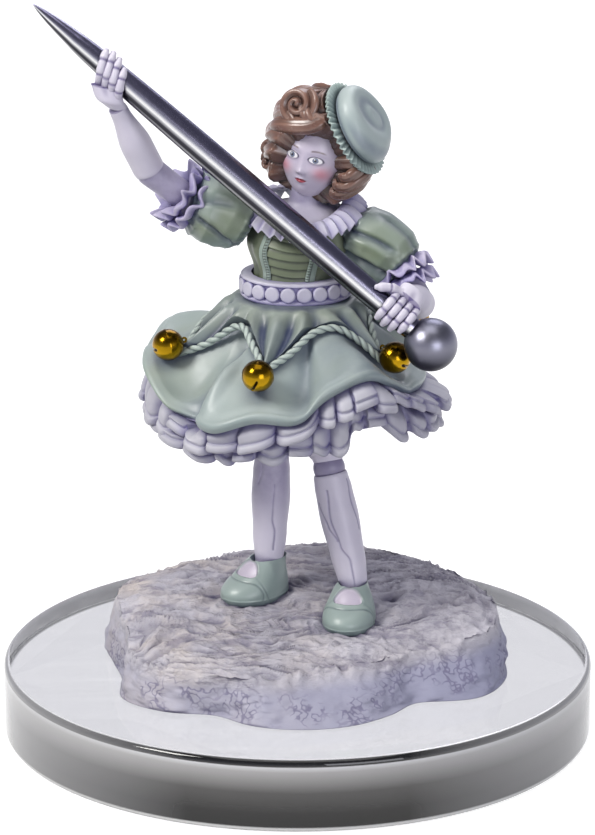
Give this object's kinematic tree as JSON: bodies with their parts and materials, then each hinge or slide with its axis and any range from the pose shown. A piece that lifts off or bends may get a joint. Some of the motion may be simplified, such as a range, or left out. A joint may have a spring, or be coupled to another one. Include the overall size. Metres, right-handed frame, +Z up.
{
  "type": "doll miniature",
  "caption": "Doll in a ruffled dress and beret, holding a hat pin as long as itself, on a rock on a clear round base.",
  "frame": {"origin": "middle of the clear disc's underside, on the table", "axes": "+Z up, -Y to the doll's front, +X to its left"},
  "size_m": [0.025, 0.025, 0.0315],
  "materials": {
    "clear_acrylic": "clear, polished",
    "stone_paint": "painted resin, rough stone grey",
    "porcelain_paint": "painted resin, pale lavender satin",
    "green_paint": "painted resin, pale green satin",
    "bodice_paint": "painted resin, olive green satin",
    "lace_paint": "painted resin, lavender white",
    "hair_paint": "painted resin, brown satin",
    "gold_paint": "painted resin, polished gold",
    "steel_paint": "painted resin, polished dark steel"
  },
  "bodies": {
    "root": {"clear_disc": "clear_acrylic", "rock": "stone_paint", "right_lower_leg": "porcelain_paint", "left_lower_leg": "porcelain_paint", "right_knee_ball": "porcelain_paint", "left_knee_ball": "porcelain_paint", "right_thigh": "porcelain_paint", "left_thigh": "porcelain_paint", "right_upper_arm": "porcelain_paint", "left_upper_arm": "porcelain_paint", "right_forearm": "porcelain_paint", "left_forearm": "porcelain_paint", "right_hand": "porcelain_paint", "left_hand": "porcelain_paint", "chest_and_neck": "porcelain_paint", "head": "porcelain_paint", "right_shoe": "green_paint", "left_shoe": "green_paint", "right_sleeve": "green_paint", "left_sleeve": "green_paint", "right_bodice_trim": "green_paint", "left_bodice_trim": "green_paint", "overskirt": "green_paint", "overlay": "green_paint", "overlay_cord": "green_paint", "beret_crown": "green_paint", "beret_frill": "green_paint", "bodice": "bodice_paint", "right_upper_cuff": "lace_paint", "left_upper_cuff": "lace_paint", "right_lower_cuff": "lace_paint", "left_lower_cuff": "lace_paint", "lower_petticoat": "lace_paint", "upper_petticoat": "lace_paint", "belt": "lace_paint", "collar": "lace_paint", "hair_cap": "hair_paint", "front_curl": "hair_paint", "forehead_wave": "hair_paint", "right_curls": "hair_paint", "left_curls": "hair_paint", "right_bell": "gold_paint", "front_bell": "gold_paint", "left_bell": "gold_paint", "left_back_bell": "gold_paint", "back_bell": "gold_paint", "pin_shaft": "steel_paint", "pin_knob": "steel_paint"}
  },
  "joints": []
}
